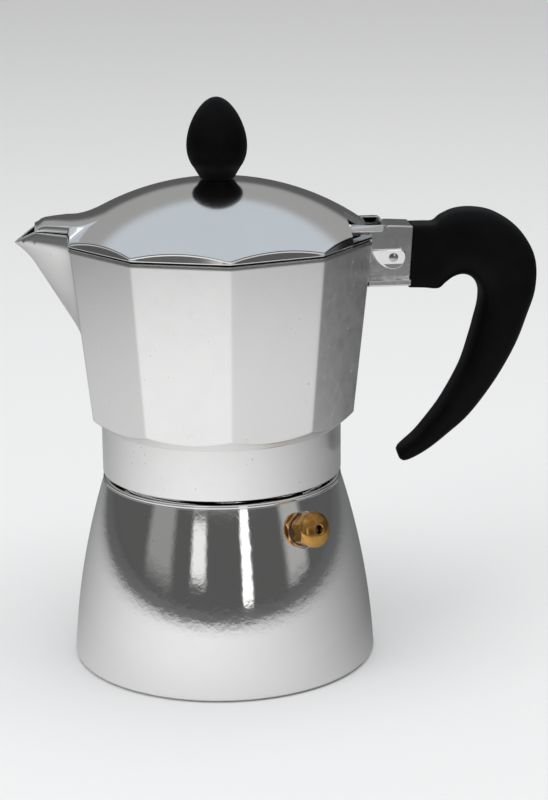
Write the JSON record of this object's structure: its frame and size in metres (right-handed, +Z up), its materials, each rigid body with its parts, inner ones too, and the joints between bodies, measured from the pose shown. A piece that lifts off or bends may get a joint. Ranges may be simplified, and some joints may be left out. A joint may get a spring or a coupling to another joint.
{
  "type": "stovetop moka pot",
  "caption": "Stovetop coffee pot with a bell-shaped boiler, flat-sided upper chamber, spout, hinged lid with an egg knob, hooked handle and brass safety valve.",
  "frame": {"origin": "centre of the boiler's flat base", "axes": "+Z up the pot's axis, +X towards the hinge and handle, -X towards the spout, -Y the side seen from the front"},
  "size_m": [0.1479, 0.0882, 0.162],
  "materials": {
    "boiler_aluminium": "polished above, satin towards the base",
    "valve_fibre": "matte",
    "valve_brass": "turned, slightly tarnished",
    "valve_steel": "turned",
    "funnel_aluminium": "drawn sheet, satin",
    "gasket_rubber": "matte",
    "chamber_aluminium": "polished casting",
    "hardware_steel": "plain",
    "black_plastic": "fine-grained matte",
    "insert_brass": "plain",
    "lid_aluminium": "polished"
  },
  "bodies": {
    "boiler": {"boiler": "boiler_aluminium", "valve_washer": "valve_fibre", "valve_body": "valve_brass", "valve_seat": "valve_brass", "valve_spring": "valve_steel"},
    "valve_poppet": {"valve_poppet": "valve_steel"},
    "funnel": {"funnel": "funnel_aluminium", "funnel_sieve": "funnel_aluminium"},
    "filter_plate": {"filter_plate": "funnel_aluminium"},
    "gasket": {"gasket": "gasket_rubber"},
    "upper": {"upper_chamber": "chamber_aluminium", "hinge_pin": "hardware_steel", "handle": "black_plastic", "handle_insert": "insert_brass", "handle_screw": "hardware_steel"},
    "lid": {"lid": "lid_aluminium", "knob": "black_plastic", "knob_insert": "insert_brass", "knob_washer": "hardware_steel", "knob_screw": "hardware_steel"}
  },
  "joints": [
    {"name": "valve_lift", "type": "slide", "parent": "boiler", "child": "valve_poppet", "axis": [0.5395, -0.7999, 0.2629], "range_m": [0, 0.0012], "stiffness_N_per_m": 300, "springref_m": -0.003, "deforming": ["valve_spring"]},
    {"name": "funnel_lift", "type": "slide", "parent": "boiler", "child": "funnel", "axis": [0, 0, 1], "range_m": [0, 0.062]},
    {"name": "upper_lift", "type": "slide", "parent": "funnel", "child": "filter_plate", "axis": [0, 0, 1], "range_m": [0, 0.05]},
    {"name": "upper_rise", "type": "slide", "parent": "filter_plate", "child": "gasket", "axis": [0, 0, 1], "range_m": [0, 0.00901]},
    {"name": "upper_turn", "type": "hinge", "parent": "gasket", "child": "upper", "pos_m": [0, 0, 0], "axis": [0, 0, 1], "range_deg": [0, 1080]},
    {"name": "lid_open", "type": "hinge", "parent": "upper", "child": "lid", "pos_m": [0.04864, 0, 0.117], "axis": [0, 1, 0], "range_deg": [0, 78]}
  ],
  "couplings": [
    {"joint": "upper_rise", "follows": "upper_turn", "m_per_rad": 0.00047746}
  ]
}
